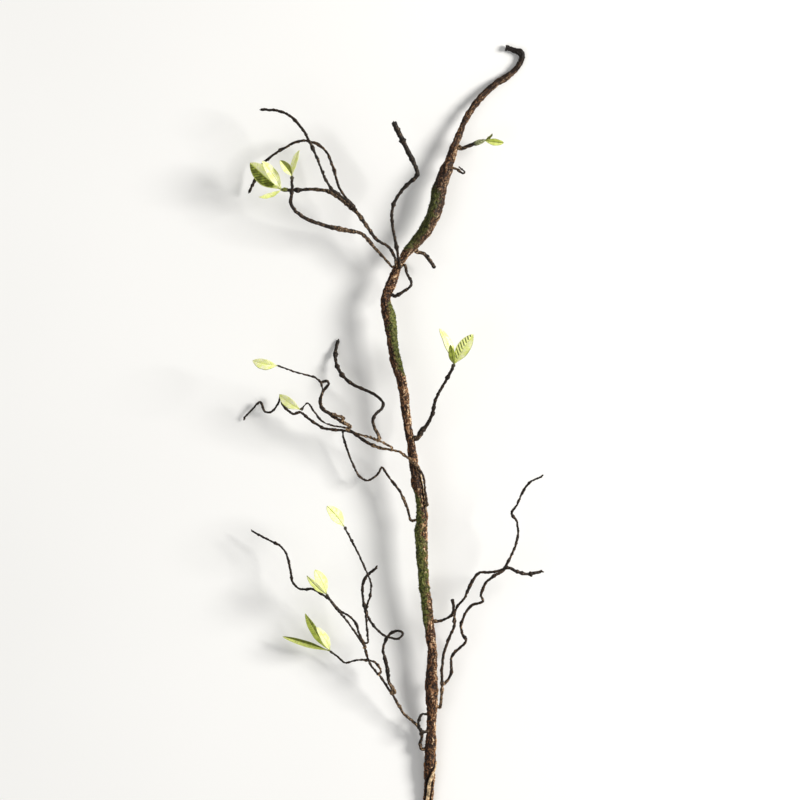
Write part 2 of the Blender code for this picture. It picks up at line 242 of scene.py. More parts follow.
def grow(mesh, name, steps):
    # runs a mesh through trees with these inputs, and returns the plain mesh object it becomes
    seed = bpy.data.objects.new(name, mesh)
    scene.collection.objects.link(seed)
    for tree, values in steps:
        modifier = seed.modifiers.new(tree.name, "NODES")
        modifier.node_group = tree
        for item in tree.interface.items_tree:
            if item.in_out == "INPUT" and item.name in values:
                modifier[item.identifier] = values[item.name]
    bpy.context.view_layer.update()
    graph = bpy.context.evaluated_depsgraph_get()
    grown = bpy.data.meshes.new_from_object(seed.evaluated_get(graph))
    seed.modifiers.clear()
    seed.data = grown
    grown.name = name
    return seed


def lineMesh(points, values):
    # a chain of edges whose points carry named values
    mesh = bpy.data.meshes.new("line")
    mesh.from_pydata([tuple(p) for p in points], [(i, i + 1) for i in range(len(points) - 1)], [])
    for name, numbers in values.items():
        layer = mesh.attributes.new(name, "FLOAT", "POINT")
        layer.data.foreach_set("value", np.asarray(numbers, np.float32))
    return mesh


# materials

def newMaterial(name, roughness, specular=0.3):
    made = bpy.data.materials.new(name)
    made.use_nodes = True
    tree = made.node_tree
    shader = tree.nodes["Principled BSDF"]
    shader.inputs["Roughness"].default_value = roughness
    shader.inputs["Specular IOR Level"].default_value = specular
    return made, tree, shader


def attribute(tree, name):
    return put(tree, "ShaderNodeAttribute", attribute_name=name).outputs["Fac"]


def blend(tree, share, first, second, kind="MIX"):
    made = put(tree, "ShaderNodeMix", data_type="RGBA", blend_type=kind)
    for index, value in ((0, share), (6, first), (7, second)):
        if isinstance(value, bpy.types.NodeSocket):
            tree.links.new(value, made.inputs[index])
        else:
            made.inputs[index].default_value = value if index == 0 else (*value, 1.0)
    return made.outputs[2]


def bump(tree, shader, height, strength, distance):
    sockets = {"Height": height, "Strength": strength, "Distance": distance}
    made = put(tree, "ShaderNodeBump", sockets)
    tree.links.new(made.outputs[0], shader.inputs["Normal"])


def place(tree):
    return put(tree, "ShaderNodeTexCoord").outputs["Object"]


def barkMaterial(name, colours, roughness):
    # painted shade in the creases, a mid tone, pale worn ridges with a painted highlight on the +X side,
    # painted shade on the -X side, then moss, raw tan wood and darkened tips
    made, tree, shader = newMaterial(name, roughness, 0.22)
    spot = place(tree)
    ridge, sideways = attribute(tree, "ridge"), attribute(tree, "sideways")
    grain = noise(tree, spot, colours["grainScale"], 4.0, 0.65)
    patch = noise(tree, spot, colours["patchScale"], 4.0, 0.65)
    base = blend(tree, ease(tree, patch, 0.42, 0.58), colours["mid"], colours["mid2"])
    # painted shade in the cracks between plates and in the seam grooves
    base = blend(tree, ease(tree, ridge, 0.50, 0.14), base, colours["creaseShade"])
    # painted highlight: the pale worn ridges show much more on the +X side, toward the key lamp
    sunlit = ease(tree, sideways, -0.35, 0.55, colours["highlightLeft"], colours["highlightRight"])
    wornAndHighlight = calc(tree, "MULTIPLY", ease(tree, ridge, 0.35, 0.80), ease(tree, grain, 0.46, 0.58))
    base = blend(tree, calc(tree, "MULTIPLY", wornAndHighlight, sunlit), base, colours["wornAndHighlight"])
    # painted shade: the bark is darker on its -X side, away from the key lamp
    paintedShade = blend(tree, 1.0, base, colours["shade"], "MULTIPLY")
    base = blend(tree, ease(tree, sideways, 0.10, -0.80), base, paintedShade)
    mossMix = blend(tree, ease(tree, grain, 0.42, 0.60), colours["mossDeep"], colours["mossLight"])
    base = blend(tree, attribute(tree, "moss"), base, mossMix)
    tanMix = blend(tree, ease(tree, grain, 0.42, 0.58), colours["tanDeep"], colours["tan"])
    # painted shade in the cracks of the raw wood too
    tanMix = blend(tree, ease(tree, ridge, 0.45, 0.15), tanMix, colours["creaseShade"])
    base = blend(tree, attribute(tree, "raw"), base, tanMix)
    speckled = calc(tree, "MULTIPLY", attribute(tree, "pale"), ease(tree, grain, 0.40, 0.55, 0.25, 0.9))
    base = blend(tree, speckled, base, colours["strand"])
    base = blend(tree, attribute(tree, "dark"), base, colours["tip"])
    tree.links.new(base, shader.inputs["Base Color"])
    bump(tree, shader, grain, 0.6, colours["bumpDepth"])
    return made


stemBark = barkMaterial("stemBark", {
    "mid": (0.135, 0.055, 0.021), "mid2": (0.32, 0.155, 0.066), "creaseShade": (0.014, 0.006, 0.003),
    "wornAndHighlight": (0.97, 0.72, 0.45), "highlightLeft": 0.3, "highlightRight": 0.95, "shade": (0.40, 0.30, 0.22),
    "strand": (0.80, 0.60, 0.36), "mossDeep": (0.026, 0.032, 0.007), "mossLight": (0.20, 0.21, 0.055),
    "tan": (0.55, 0.33, 0.15), "tanDeep": (0.20, 0.10, 0.04), "tip": (0.012, 0.008, 0.006),
    "grainScale": 300.0, "patchScale": 105.0, "bumpDepth": 0.0006,
}, 0.58)
twigBark = barkMaterial("twigBark", {
    "mid": (0.026, 0.014, 0.007), "mid2": (0.090, 0.046, 0.022), "creaseShade": (0.005, 0.003, 0.002),
    "wornAndHighlight": (0.72, 0.50, 0.32), "highlightLeft": 0.1, "highlightRight": 0.8, "shade": (0.22, 0.19, 0.15),
    "strand": (0.5, 0.4, 0.3), "mossDeep": (0.05, 0.08, 0.02), "mossLight": (0.16, 0.22, 0.06),
    "tan": (0.66, 0.44, 0.24), "tanDeep": (0.17, 0.085, 0.038), "tip": (0.008, 0.006, 0.004),
    "grainScale": 440.0, "patchScale": 130.0, "bumpDepth": 0.0003,
}, 0.55)


# bark tubes: every strand is swept along its line and wrinkled; twigs get knots at random spots

def barkSweep():
    sizes = ("Ring Step", "Wrinkle Depth", "Wrinkle Size", "Wrinkle Stretch", "Plate Depth", "Plate Size",
             "Plate Stretch", "Fine Depth", "Lump Depth", "Lump Size", "Seam Depth", "Strand Height",
             "Moss Depth", "Phase")
    extra = (("Buds", "NodeSocketBool"), ("Bark", "NodeSocketMaterial"))
    tree, into = newTree("barkSweep", sizes + ("Bud Spacing", "Bud Size"), ("Sides", "Seed"), extra)
    curve = put(tree, "GeometryNodeMeshToCurve", {"Mesh": into["Geometry"]}).outputs[0]
    sockets = {"Curve": curve, "Length": into["Ring Step"]}
    curve = put(tree, "GeometryNodeResampleCurve", sockets, mode="LENGTH").outputs[0]
    curve = store(tree, curve, "along", put(tree, "GeometryNodeSplineParameter").outputs["Length"])
    circle = put(tree, "GeometryNodeCurvePrimitiveCircle",
                 {"Resolution": into["Sides"], "Radius": 1.0}).outputs[0]
    turn = calc(tree, "MULTIPLY", put(tree, "GeometryNodeSplineParameter").outputs["Factor"], math.tau)
    circle = store(tree, circle, "around", turn)
    sockets = {"Curve": curve, "Profile Curve": circle, "Scale": named(tree, "rad"), "Fill Caps": True}
    skin = put(tree, "GeometryNodeCurveToMesh", sockets).outputs[0]

    around, along, rad = named(tree, "around"), named(tree, "along"), named(tree, "rad")
    away = calc(tree, "ADD", along, into["Phase"])
    across = calc(tree, "MULTIPLY", calc(tree, "COSINE", around), rad)
    up = calc(tree, "MULTIPLY", calc(tree, "SINE", around), rad)
    plain = xyz(tree, across, up, away)
    fibre = xyz(tree, across, up, calc(tree, "DIVIDE", away, into["Wrinkle Stretch"]))
    wrinkleScale = calc(tree, "DIVIDE", 1.0, into["Wrinkle Size"])
    wave = calc(tree, "ABSOLUTE", calc(tree, "SUBTRACT", noise(tree, fibre, wrinkleScale, 2.0, 0.55), 0.5))
    wrinkle = ease(tree, wave, 0.0, 0.14)  # long creases between rounded ridges
    sockets = {"Vector": plain, "Scale": calc(tree, "MULTIPLY", wrinkleScale, 1.6), "Detail": 3.0}
    stir = put(tree, "ShaderNodeTexNoise", sockets).outputs["Color"]
    stir = vector(tree, "SUBTRACT", stir, (0.5, 0.5, 0.5))
    stir = scaled(tree, stir, calc(tree, "MULTIPLY", into["Plate Size"], 3.2))
    plateSpot = xyz(tree, across, up, calc(tree, "DIVIDE", away, into["Plate Stretch"]))
    plateSpot = vector(tree, "ADD", plateSpot, stir)
    sockets = {"Vector": plateSpot, "Scale": calc(tree, "DIVIDE", 1.0, into["Plate Size"])}
    crack = put(tree, "ShaderNodeTexVoronoi", sockets, feature="DISTANCE_TO_EDGE").outputs["Distance"]
    plate = ease(tree, crack, 0.0, 0.24)  # small rounded plates, as on crinkled leather
    fine = noise(tree, plain, calc(tree, "DIVIDE", 2.2, into["Plate Size"]), 2.0, 0.6)
    lump = calc(tree, "SUBTRACT", noise(tree, plain, calc(tree, "DIVIDE", 1.0, into["Lump Size"]), 1.0), 0.5)

    side = put(tree, "ShaderNodeSeparateXYZ", {0: put(tree, "GeometryNodeInputNormal").outputs[0]})
    facing = calc(tree, "ARCTAN2", side.outputs[2], side.outputs[0])  # 0 on the +X side, pi/2 on top
    past = calc(tree, "SUBTRACT", named(tree, "seamTurn"), facing)
    groove = calc(tree, "MULTIPLY", ease(tree, calc(tree, "ABSOLUTE", past), 0.30, 0.06), named(tree, "seam"))
    strand = calc(tree, "MULTIPLY", ease(tree, past, 0.30, 0.45), ease(tree, past, 1.15, 0.95))
    strand = calc(tree, "MULTIPLY", strand, named(tree, "seam"))
    second = ease(tree, calc(tree, "ABSOLUTE", calc(tree, "SUBTRACT", past, 1.35)), 0.26, 0.05)
    groove = calc(tree, "MAXIMUM", groove, calc(tree, "MULTIPLY", second, named(tree, "seam")))

    lean = calc(tree, "MULTIPLY", side.outputs[0], named(tree, "mossSide"))
    edge = calc(tree, "MULTIPLY", calc(tree, "SUBTRACT", noise(tree, plain, 150.0, 4.0, 0.7), 0.5), 2.2)
    moss = ease(tree, plus(tree, named(tree, "mossy"), lean, edge), 0.30, 0.85)
    pile = times(tree, moss, fine, into["Moss Depth"])

    creased = calc(tree, "MULTIPLY", calc(tree, "SUBTRACT", wrinkle, 0.75), into["Wrinkle Depth"])
    plated = calc(tree, "MULTIPLY", calc(tree, "SUBTRACT", plate, 0.6), into["Plate Depth"])
    rough = calc(tree, "MULTIPLY", calc(tree, "SUBTRACT", fine, 0.5), into["Fine Depth"])
    height = plus(tree, creased, plated, rough, calc(tree, "MULTIPLY", lump, into["Lump Depth"]))
    height = calc(tree, "SUBTRACT", height, calc(tree, "MULTIPLY", groove, into["Seam Depth"]))
    height = plus(tree, height, calc(tree, "MULTIPLY", strand, into["Strand Height"]), pile)
    # ridge is low in the cracks and grooves, where the materials paint shade
    ridge = calc(tree, "MULTIPLY", plate, calc(tree, "ADD", 0.4, calc(tree, "MULTIPLY", wrinkle, 0.6)))
    skin = store(tree, skin, "ridge", calc(tree, "MULTIPLY", ridge, calc(tree, "SUBTRACT", 1.0, groove)))
    skin = store(tree, skin, "moss", moss)
    skin = store(tree, skin, "pale", strand)
    # which way the skin faces across: the materials paint shade on its -X side and highlights on its +X side
    skin = store(tree, skin, "sideways", side.outputs[0])
    outwards = scaled(tree, put(tree, "GeometryNodeInputNormal").outputs[0], height)
    skin = put(tree, "GeometryNodeSetPosition", {"Geometry": skin, "Offset": outwards}).outputs[0]

    # buds lean out of the bark on any side, pointing to the tip
    sockets = {"Curve": curve, "Length": into["Bud Spacing"]}
    spots = put(tree, "GeometryNodeCurveToPoints", sockets, mode="LENGTH")
    ball = put(tree, "GeometryNodeMeshUVSphere", {"Segments": 9, "Rings": 7, "Radius": 1.0}).outputs[0]
    long = calc(tree, "MULTIPLY", into["Bud Size"], 2.1)
    sockets = {"Geometry": ball, "Scale": xyz(tree, into["Bud Size"], into["Bud Size"], long),
               "Rotation": (0.0, 0.42, 0.0), "Translation": xyz(tree, into["Bud Size"], 0.0, 0.0)}
    bud = put(tree, "GeometryNodeTransform", sockets).outputs[0]
    bud = store(tree, bud, "ridge", 0.45)
    spin = put(tree, "FunctionNodeRandomValue", {2: -math.pi, 3: math.pi, "Seed": into["Seed"]}).outputs[1]
    turned = put(tree, "FunctionNodeEulerToRotation", {0: xyz(tree, 0.0, 0.0, spin)}).outputs[0]
    turned = turnedBy(tree, spots.outputs["Rotation"], turned)
    grade = put(tree, "FunctionNodeRandomValue", {2: 0.55, 3: 1.15, "Seed": into["Seed"]}).outputs[1]
    sockets = {"Probability": 0.62, "Seed": into["Seed"]}
    keep = put(tree, "FunctionNodeRandomValue", sockets, data_type="BOOLEAN")
    sockets = {"Points": spots.outputs[0], "Selection": keep.outputs[3], "Instance": bud,
               "Rotation": turned, "Scale": xyz(tree, grade, grade, grade)}
    buds = put(tree, "GeometryNodeInstanceOnPoints", sockets).outputs[0]
    both = put(tree, "GeometryNodeJoinGeometry", {0: skin})
    tree.links.new(buds, both.inputs[0])
    sockets = {"Switch": into["Buds"], "False": skin, "True": both.outputs[0]}
    dressed = put(tree, "GeometryNodeSwitch", sockets, input_type="GEOMETRY").outputs[0]
    return closeTree(tree, dressed, into["Bark"])


sweep = barkSweep()

stem = {
    "ringStep": 0.85 * mm, "sides": 64,
    "plate": (0.9 * mm, 3.4 * mm, 1.8), "wrinkle": (1.2 * mm, 7 * mm, 3.0), "lump": (3.0 * mm, 12 * mm),
    "fine": 0.6 * mm, "seamDepth": 2.4 * mm, "strandHeight": 0.7 * mm, "mossDepth": 1.0 * mm,
    # by height from the cut end in millimetres
    "dark": ((0, 0.0), (255, 0.0), (600, 0.1), (728, 0.1), (750, 0.55), (825, 0.5), (860, 0.3),
             (900, 0.35), (940, 0.5), (975, 0.75), (990, 1.0), (1010, 1.0)),
    "raw": ((0, 0.15), (60, 0.0), (715, 0.0), (726, 0.35), (738, 0.0)),
    "seam": ((0, 1.0), (72, 1.0), (86, 0.0), (398, 0.0), (408, 0.9), (450, 0.9), (462, 0.0)),
    "seamTurn": ((0, 2.7), (50, 2.2), (65, 1.2), (80, 0.1), (398, 0.9), (455, 0.5)),
    "mossy": ((232, -0.6), (256, 0.45), (300, 0.75), (345, 0.9), (370, 0.65), (425, 0.35), (445, -0.7),
              (560, -0.8), (586, 0.5), (640, 0.75), (672, 0.0), (690, -0.8), (722, -0.8), (742, 0.6),
              (808, 0.65), (830, -0.6)),
    "mossSide": ((250, -0.5), (330, -0.35), (430, -0.6), (560, 0.7), (660, 0.75), (700, 0.0), (735, -0.7)),
}


def tableValue(table, heights):
    return np.interp(heights, [row[0] for row in table], [row[1] for row in table])


def relief(look):
    # the sweep's inputs from a look's depth, size and stretch of plates, wrinkles and lumps
    plate, wrinkle, lump = look["plate"], look["wrinkle"], look["lump"]
    return {"Plate Depth": plate[0], "Plate Size": plate[1], "Plate Stretch": plate[2],
            "Wrinkle Depth": wrinkle[0], "Wrinkle Size": wrinkle[1], "Wrinkle Stretch": wrinkle[2],
            "Lump Depth": lump[0], "Lump Size": lump[1], "Fine Depth": look["fine"]}


def makeStem():
    points, radii = smoothRun(stemCentres, stemRadii, 3 * mm)
    heights = (points[:, 1] - cutEnd.y) / mm
    tables = ("dark", "raw", "seam", "seamTurn", "mossy", "mossSide")
    values = {key: tableValue(stem[key], heights) for key in tables}
    mesh = lineMesh(points, {"rad": radii, **values})
    piece = grow(mesh, "stem_bark_skin", [(sweep, {
        "Ring Step": stem["ringStep"], "Sides": stem["sides"], **relief(stem),
        "Seam Depth": stem["seamDepth"], "Strand Height": stem["strandHeight"],
        "Moss Depth": stem["mossDepth"], "Bark": stemBark})])
    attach(piece, "root")
    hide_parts("main_stem")
    return piece


stemPiece = makeStem()
print("stem made")


# moss: short tufts on the green parts of the bark

def mossTufts():
    sizes = ("Density", "Tuft Width", "Tuft Length", "Ragged")
    tree, into = newTree("mossTufts", sizes, ("Seed",), (("Moss", "NodeSocketMaterial"),))
    factor = ease(tree, named(tree, "moss"), 0.25, 0.95)
    sockets = {"Mesh": into["Geometry"], "Density": calc(tree, "MULTIPLY", into["Density"], factor),
               "Seed": into["Seed"]}
    spots = put(tree, "GeometryNodeDistributePointsOnFaces", sockets)
    sockets = {"Vertices": 4, "Side Segments": 1, "Radius Top": 0.0, "Radius Bottom": into["Tuft Width"],
               "Depth": into["Tuft Length"]}
    tuft = put(tree, "GeometryNodeMeshCone", sockets).outputs[0]
    sink = calc(tree, "MULTIPLY", into["Tuft Length"], -0.25)
    tuft = put(tree, "GeometryNodeTransform", {"Geometry": tuft, "Translation": xyz(tree, 0.0, 0.0, sink)})
    tilt = put(tree, "FunctionNodeRandomValue", {0: (-0.75, -0.75, -3.0), 1: (0.75, 0.75, 3.0)},
               data_type="FLOAT_VECTOR").outputs[0]
    tilt = put(tree, "FunctionNodeEulerToRotation", {0: tilt}).outputs[0]
    turned = turnedBy(tree, spots.outputs["Rotation"], tilt)
    low = calc(tree, "SUBTRACT", 1.0, into["Ragged"])
    high = calc(tree, "ADD", 1.0, into["Ragged"])
    grade = put(tree, "FunctionNodeRandomValue", {2: low, 3: high, "Seed": 5}).outputs[1]
    sockets = {"Points": spots.outputs[0], "Instance": tuft.outputs[0], "Rotation": turned,
               "Scale": xyz(tree, grade, grade, grade)}
    tufts = put(tree, "GeometryNodeInstanceOnPoints", sockets).outputs[0]
    tone = put(tree, "FunctionNodeRandomValue", {2: 0.0, 3: 1.0, "Seed": 21}).outputs[1]
    sockets = {"Geometry": tufts, "Name": "tuftTone", "Value": tone}
    tufts = put(tree, "GeometryNodeStoreNamedAttribute", sockets, domain="INSTANCE").outputs[0]
    return closeTree(tree, tufts, into["Moss"])


def mossMaterial():
    # tufts of every tone from near black to straw, warmer in patches, with painted shade on the left (-X)
    # side
    made, tree, shader = newMaterial("stemMoss", 0.9, 0.1)
    spot = place(tree)
    tone = attribute(tree, "tuftTone")
    colour = blend(tree, ease(tree, tone, 0.1, 0.6), (0.020, 0.032, 0.004), (0.10, 0.155, 0.016))
    colour = blend(tree, ease(tree, tone, 0.66, 0.95), colour, (0.38, 0.42, 0.10))
    warm = ease(tree, noise(tree, spot, 90.0, 3.0, 0.6), 0.48, 0.66)
    colour = blend(tree, calc(tree, "MULTIPLY", warm, 0.7), colour, (0.21, 0.145, 0.05))
    # painted shade: tufts on the -X side of the stem are darkened
    shaded = blend(tree, 1.0, colour, (0.38, 0.42, 0.36), "MULTIPLY")
    colour = blend(tree, ease(tree, attribute(tree, "sideways"), 0.15, -0.85), colour, shaded)
    # darker where the stem's dark table rises, toward the hook end
    darkMoss = blend(tree, 1.0, colour, (0.16, 0.15, 0.13), "MULTIPLY")
    colour = blend(tree, attribute(tree, "dark"), colour, darkMoss)
    tree.links.new(colour, shader.inputs["Base Color"])
    return made


moss = {"density": 620000.0, "width": 0.38 * mm, "length": 1.25 * mm, "ragged": 0.45}


def makeMoss():
    piece = grow(stemPiece.data.copy(), "stem_moss_tufts", [(mossTufts(), {
        "Density": moss["density"], "Tuft Width": moss["width"], "Tuft Length": moss["length"],
        "Ragged": moss["ragged"], "Seed": 8, "Moss": mossMaterial()})])
    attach(piece, "root")


makeMoss()
print("moss made")

twigs = {
    "ringStep": 0.7 * mm, "sides": 14,
    "plate": (0.45 * mm, 1.9 * mm, 2.4), "wrinkle": (0.3 * mm, 2.2 * mm, 3.5), "lump": (1.9 * mm, 4.6 * mm),
    "fine": 0.4 * mm, "knotEvery": 13 * mm, "bud": 1.25 * mm, "budEvery": 17 * mm,
    "footDeep": 2.4 * mm, "boundDeep": 3.2 * mm, "boundWithin": 3 * mm,
    # how far a foot stays raw and how tan it is
    "rawFoot": (26 * mm, 0.9), "plainFoot": (14 * mm, 0.45),
    # how dark these are at the least; the others start plain and darken to their tips
    "black": {"mid_right_twig": 0.6, "top_club": 0.6, "top_left_high_arc": 0.6, "low_left_root_loop": 0.8,
              "low_left_curl": 0.6, "low_left_long_tip": 0.6, "mid_left_swan_neck": 0.6,
              "top_right_link": 0.6, "low_left_upright": 0.6},
    # a worn tan stretch along a twig: where it starts and ends in millimetres, and how tan it is
    "wornSpans": {"mid_left_bough": (62, 120, 0.6), "mid_left_peak": (0, 45, 0.6),
                  "low_left_bough": (38, 75, 0.45), "low_right_bough": (0, 30, 0.3),
                  "mid_left_sling": (0, 40, 0.3), "top_left_bough": (70, 160, 0.3),
                  "top_left_elbow": (20, 90, 0.25)},
    "rawFeet": ("mid_left_swan_neck", "mid_left_hook", "mid_left_fine_tip", "low_left_curl",
                "low_left_side_twig", "mid_left_peak", "low_left_long_tip"),
}
shootLook = {"plate": (0.25 * mm, 1.6 * mm, 2.5), "wrinkle": (0.35 * mm, 1.8 * mm, 4.0),
             "lump": (0.9 * mm, 4 * mm), "fine": 0.2 * mm}
twigNodes = [row["node"] for row in frame["record"]["subparts"] if row["material_slot"] == "twig_bark"]
twigLines = {}


def noMoss(points):
    flat = {"seam": 0.0, "seamTurn": 0.0, "mossy": -2.0, "mossSide": 0.0}
    return {key: np.full(len(points), number) for key, number in flat.items()}


def boundEnd(points, radii):
    # a far end that comes back to the stem is bound to it: it runs on into the bark
    gaps = np.linalg.norm(stemCentres - points[-1], axis=1)
    nearest = int(gaps.argmin())
    if gaps[nearest] > stemRadii[nearest] + twigs["boundWithin"]:
        tip = points[-1] + (points[-1] - points[-2]) * 0.5
        return np.vstack([points, tip]), np.append(radii, radii[-1] * 0.72)
    inward = (stemCentres[nearest] - points[-1]) / gaps[nearest]
    return np.vstack([points, points[-1] + inward * twigs["boundDeep"]]), np.append(radii, radii[-1])


def makeTwig(nodeName, order):
    centres, radii = tubeLine(nodeName, nearestOnStem)
    points, radii = smoothRun(centres, radii, 1.2 * mm)
    twigLines[nodeName] = points
    inward = points[0] - points[1]
    points = np.vstack([points[0] + inward / np.linalg.norm(inward) * twigs["footDeep"], points])
    radii = np.concatenate([[radii[0]], radii])
    points, radii = boundEnd(points, radii)
    reach = np.concatenate([[0], np.cumsum(np.linalg.norm(np.diff(points, axis=0), axis=1))])
    rng = np.random.default_rng(order + 11)
    wander = np.cumsum(rng.normal(0, 0.06, points.shape), axis=0)
    wander -= np.linspace(0, 1, len(points))[:, None] * wander[-1]
    wander -= wander.mean(axis=0) * np.sin(np.linspace(0, math.pi, len(points)))[:, None]
    points = points + np.clip(wander, -0.35, 0.35) * mm * np.minimum(1, reach / 0.02)[:, None]
    share = reach / reach[-1]
    swell = 1 + 0.35 * np.exp(-reach / (4 * mm))
    for spot in rng.uniform(0.05, 0.96, max(1, int(reach[-1] / twigs["knotEvery"]))):
        knot = (share - spot) * reach[-1] / (rng.uniform(1.2, 2.8) * mm)
        swell += rng.uniform(0.15, 0.5) * np.exp(-knot ** 2)
    rawReach, rawShare = twigs["rawFoot"] if nodeName in twigs["rawFeet"] else twigs["plainFoot"]
    raw = np.clip(1.15 - reach / rawReach, 0, 1) * rawShare
    start, end, tan = twigs["wornSpans"].get(nodeName, (0, 1, 0.0))
    inside = np.interp(reach / mm, (start - 8, start, end, end + 12), (0, 1, 1, 0))
    raw = np.maximum(raw, inside * tan)
    black = twigs["black"].get(nodeName, 0.0)
    dark = np.clip(share * 1.1 - 0.35, black, max(black, 0.75)) * (1 - raw)
    values = {"rad": radii * swell, "raw": raw, "dark": dark}
    piece = grow(lineMesh(points, {**values, **noMoss(points)}), nodeName + "_bark", [(sweep, {
        "Ring Step": twigs["ringStep"], "Sides": twigs["sides"], **relief(twigs), "Phase": order * 0.37,
        "Buds": bool(reach[-1] > 60 * mm), "Bud Spacing": twigs["budEvery"], "Bud Size": twigs["bud"],
        "Seed": order + 3, "Bark": twigBark})])
    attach(piece, "root")
    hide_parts(nodeName)


for order, nodeName in enumerate(twigNodes):
    makeTwig(nodeName, order)
print("twigs made:", len(twigNodes))


# leaves and the green shoots that carry them

def leafBlade():
    # a folded blade with ribs that run forward from the midrib, one tone on each side of it
    sizes = ("Length", "Width", "Stalk Width", "Widest At", "Fold", "Arch", "Rib Spacing", "Rib Depth",
             "Rib Slope", "Wave", "Curl", "Tone Left", "Tone Right", "Tone Starts", "Edge Left",
             "Edge Right", "Stripes Left", "Stripes Right")
    extra = (("Leaf", "NodeSocketMaterial"),)
    tree, into = newTree("leafBlade", sizes, ("Cells Along", "Cells Across"), extra)
    sockets = {"Size X": 1.0, "Size Y": 2.0, "Vertices X": into["Cells Along"],
               "Vertices Y": into["Cells Across"]}
    blade = put(tree, "GeometryNodeMeshGrid", sockets).outputs[0]
    spot = put(tree, "ShaderNodeSeparateXYZ", {0: put(tree, "GeometryNodeInputPosition").outputs[0]})
    share = calc(tree, "ADD", spot.outputs[0], 0.5)
    across = spot.outputs[1]
    blade = store(tree, blade, "share", share)
    blade = store(tree, blade, "across", across)
    share, across = named(tree, "share"), named(tree, "across")
    rise = calc(tree, "MINIMUM", calc(tree, "DIVIDE", share, into["Widest At"]), 1.0)
    belly = calc(tree, "POWER", calc(tree, "SINE", calc(tree, "MULTIPLY", rise, math.pi / 2)), 1.4)
    fall = calc(tree, "DIVIDE", calc(tree, "SUBTRACT", share, into["Widest At"]),
                calc(tree, "SUBTRACT", 1.0, into["Widest At"]))
    fall = calc(tree, "POWER", calc(tree, "MAXIMUM", fall, 0.0), 2.0)
    taper = calc(tree, "POWER", calc(tree, "MAXIMUM", calc(tree, "SUBTRACT", 1.0, fall), 0.0), 0.7)
    half = calc(tree, "MULTIPLY", calc(tree, "MULTIPLY", belly, taper),
                calc(tree, "MULTIPLY", into["Width"], 0.5))
    stalk = calc(tree, "MULTIPLY", into["Stalk Width"], ease(tree, share, 1.0, 0.8, 0.12, 0.5))
    half = calc(tree, "MAXIMUM", half, stalk)
    out = calc(tree, "MULTIPLY", across, half)
    away = calc(tree, "ABSOLUTE", out)
    forward = calc(tree, "MULTIPLY", share, into["Length"])
    behind = calc(tree, "MULTIPLY", away, into["Rib Slope"])
    phase = calc(tree, "DIVIDE", calc(tree, "SUBTRACT", forward, behind), into["Rib Spacing"])
    rib = calc(tree, "ABSOLUTE", calc(tree, "SINE", calc(tree, "MULTIPLY", phase, math.pi)))
    live = calc(tree, "MULTIPLY", ease(tree, away, 0.2 * mm, 1.2 * mm), ease(tree, share, 0.12, 0.26))
    live = calc(tree, "MULTIPLY", live, ease(tree, calc(tree, "ABSOLUTE", across), 1.0, 0.86))
    height = calc(tree, "MULTIPLY", calc(tree, "MULTIPLY", rib, live), into["Rib Depth"])
    height = calc(tree, "ADD", height, ease(tree, away, 0.0, 0.9 * mm, -0.35 * mm, 0.0))
    height = calc(tree, "ADD", height, calc(tree, "MULTIPLY", away, into["Fold"]))
    arch = calc(tree, "MULTIPLY", calc(tree, "SINE", calc(tree, "MULTIPLY", share, math.pi)), into["Arch"])
    height = calc(tree, "ADD", height, calc(tree, "MULTIPLY", arch, into["Length"]))
    wave = calc(tree, "SINE", calc(tree, "ADD", calc(tree, "MULTIPLY", share, 17.0),
                                   calc(tree, "MULTIPLY", across, 1.3)))
    rimward = calc(tree, "POWER", calc(tree, "ABSOLUTE", across), 3.0)
    wave = times(tree, wave, rimward, calc(tree, "MULTIPLY", into["Wave"], ease(tree, share, 0.2, 0.45)))
    height = calc(tree, "ADD", height, wave)
    bend = calc(tree, "MULTIPLY", calc(tree, "POWER", share, 3.0), into["Curl"])
    height = calc(tree, "SUBTRACT", height, calc(tree, "MULTIPLY", bend, into["Length"]))
    shaped = {"Geometry": blade, "Position": xyz(tree, forward, out, height)}
    blade = put(tree, "GeometryNodeSetPosition", shaped).outputs[0]
    onLeft = ease(tree, across, -0.06, 0.06)
    onRight = calc(tree, "SUBTRACT", 1.0, onLeft)
    # each side's tone is partly the leaf's own colour and partly painted light and shade
    tone, edge, stripes = [calc(tree, "ADD", calc(tree, "MULTIPLY", onLeft, into[word + " Left"]),
                                calc(tree, "MULTIPLY", onRight, into[word + " Right"]))
                           for word in ("Tone", "Edge", "Stripes")]
    # Tone Starts keeps the base pale, as painted sunlight, with the tone beyond it
    starts = calc(tree, "SUBTRACT", share, into["Tone Starts"])
    blade = store(tree, blade, "tone", calc(tree, "MULTIPLY", tone, ease(tree, starts, -0.02, 0.04)))
    # a dark rim on the chosen sides, as painted shade along the edge
    rim = ease(tree, calc(tree, "ABSOLUTE", across), 0.84, 0.95)
    blade = store(tree, blade, "outline", calc(tree, "MULTIPLY", rim, edge))
    blade = store(tree, blade, "striped", stripes)
    low = calc(tree, "MULTIPLY", calc(tree, "SUBTRACT", 1.0, rib), live)
    blade = store(tree, blade, "rib", calc(tree, "SUBTRACT", 1.0, low))
    blade = store(tree, blade, "midrib", ease(tree, away, 0.9 * mm, 0.2 * mm))
    return closeTree(tree, blade, into["Leaf"])


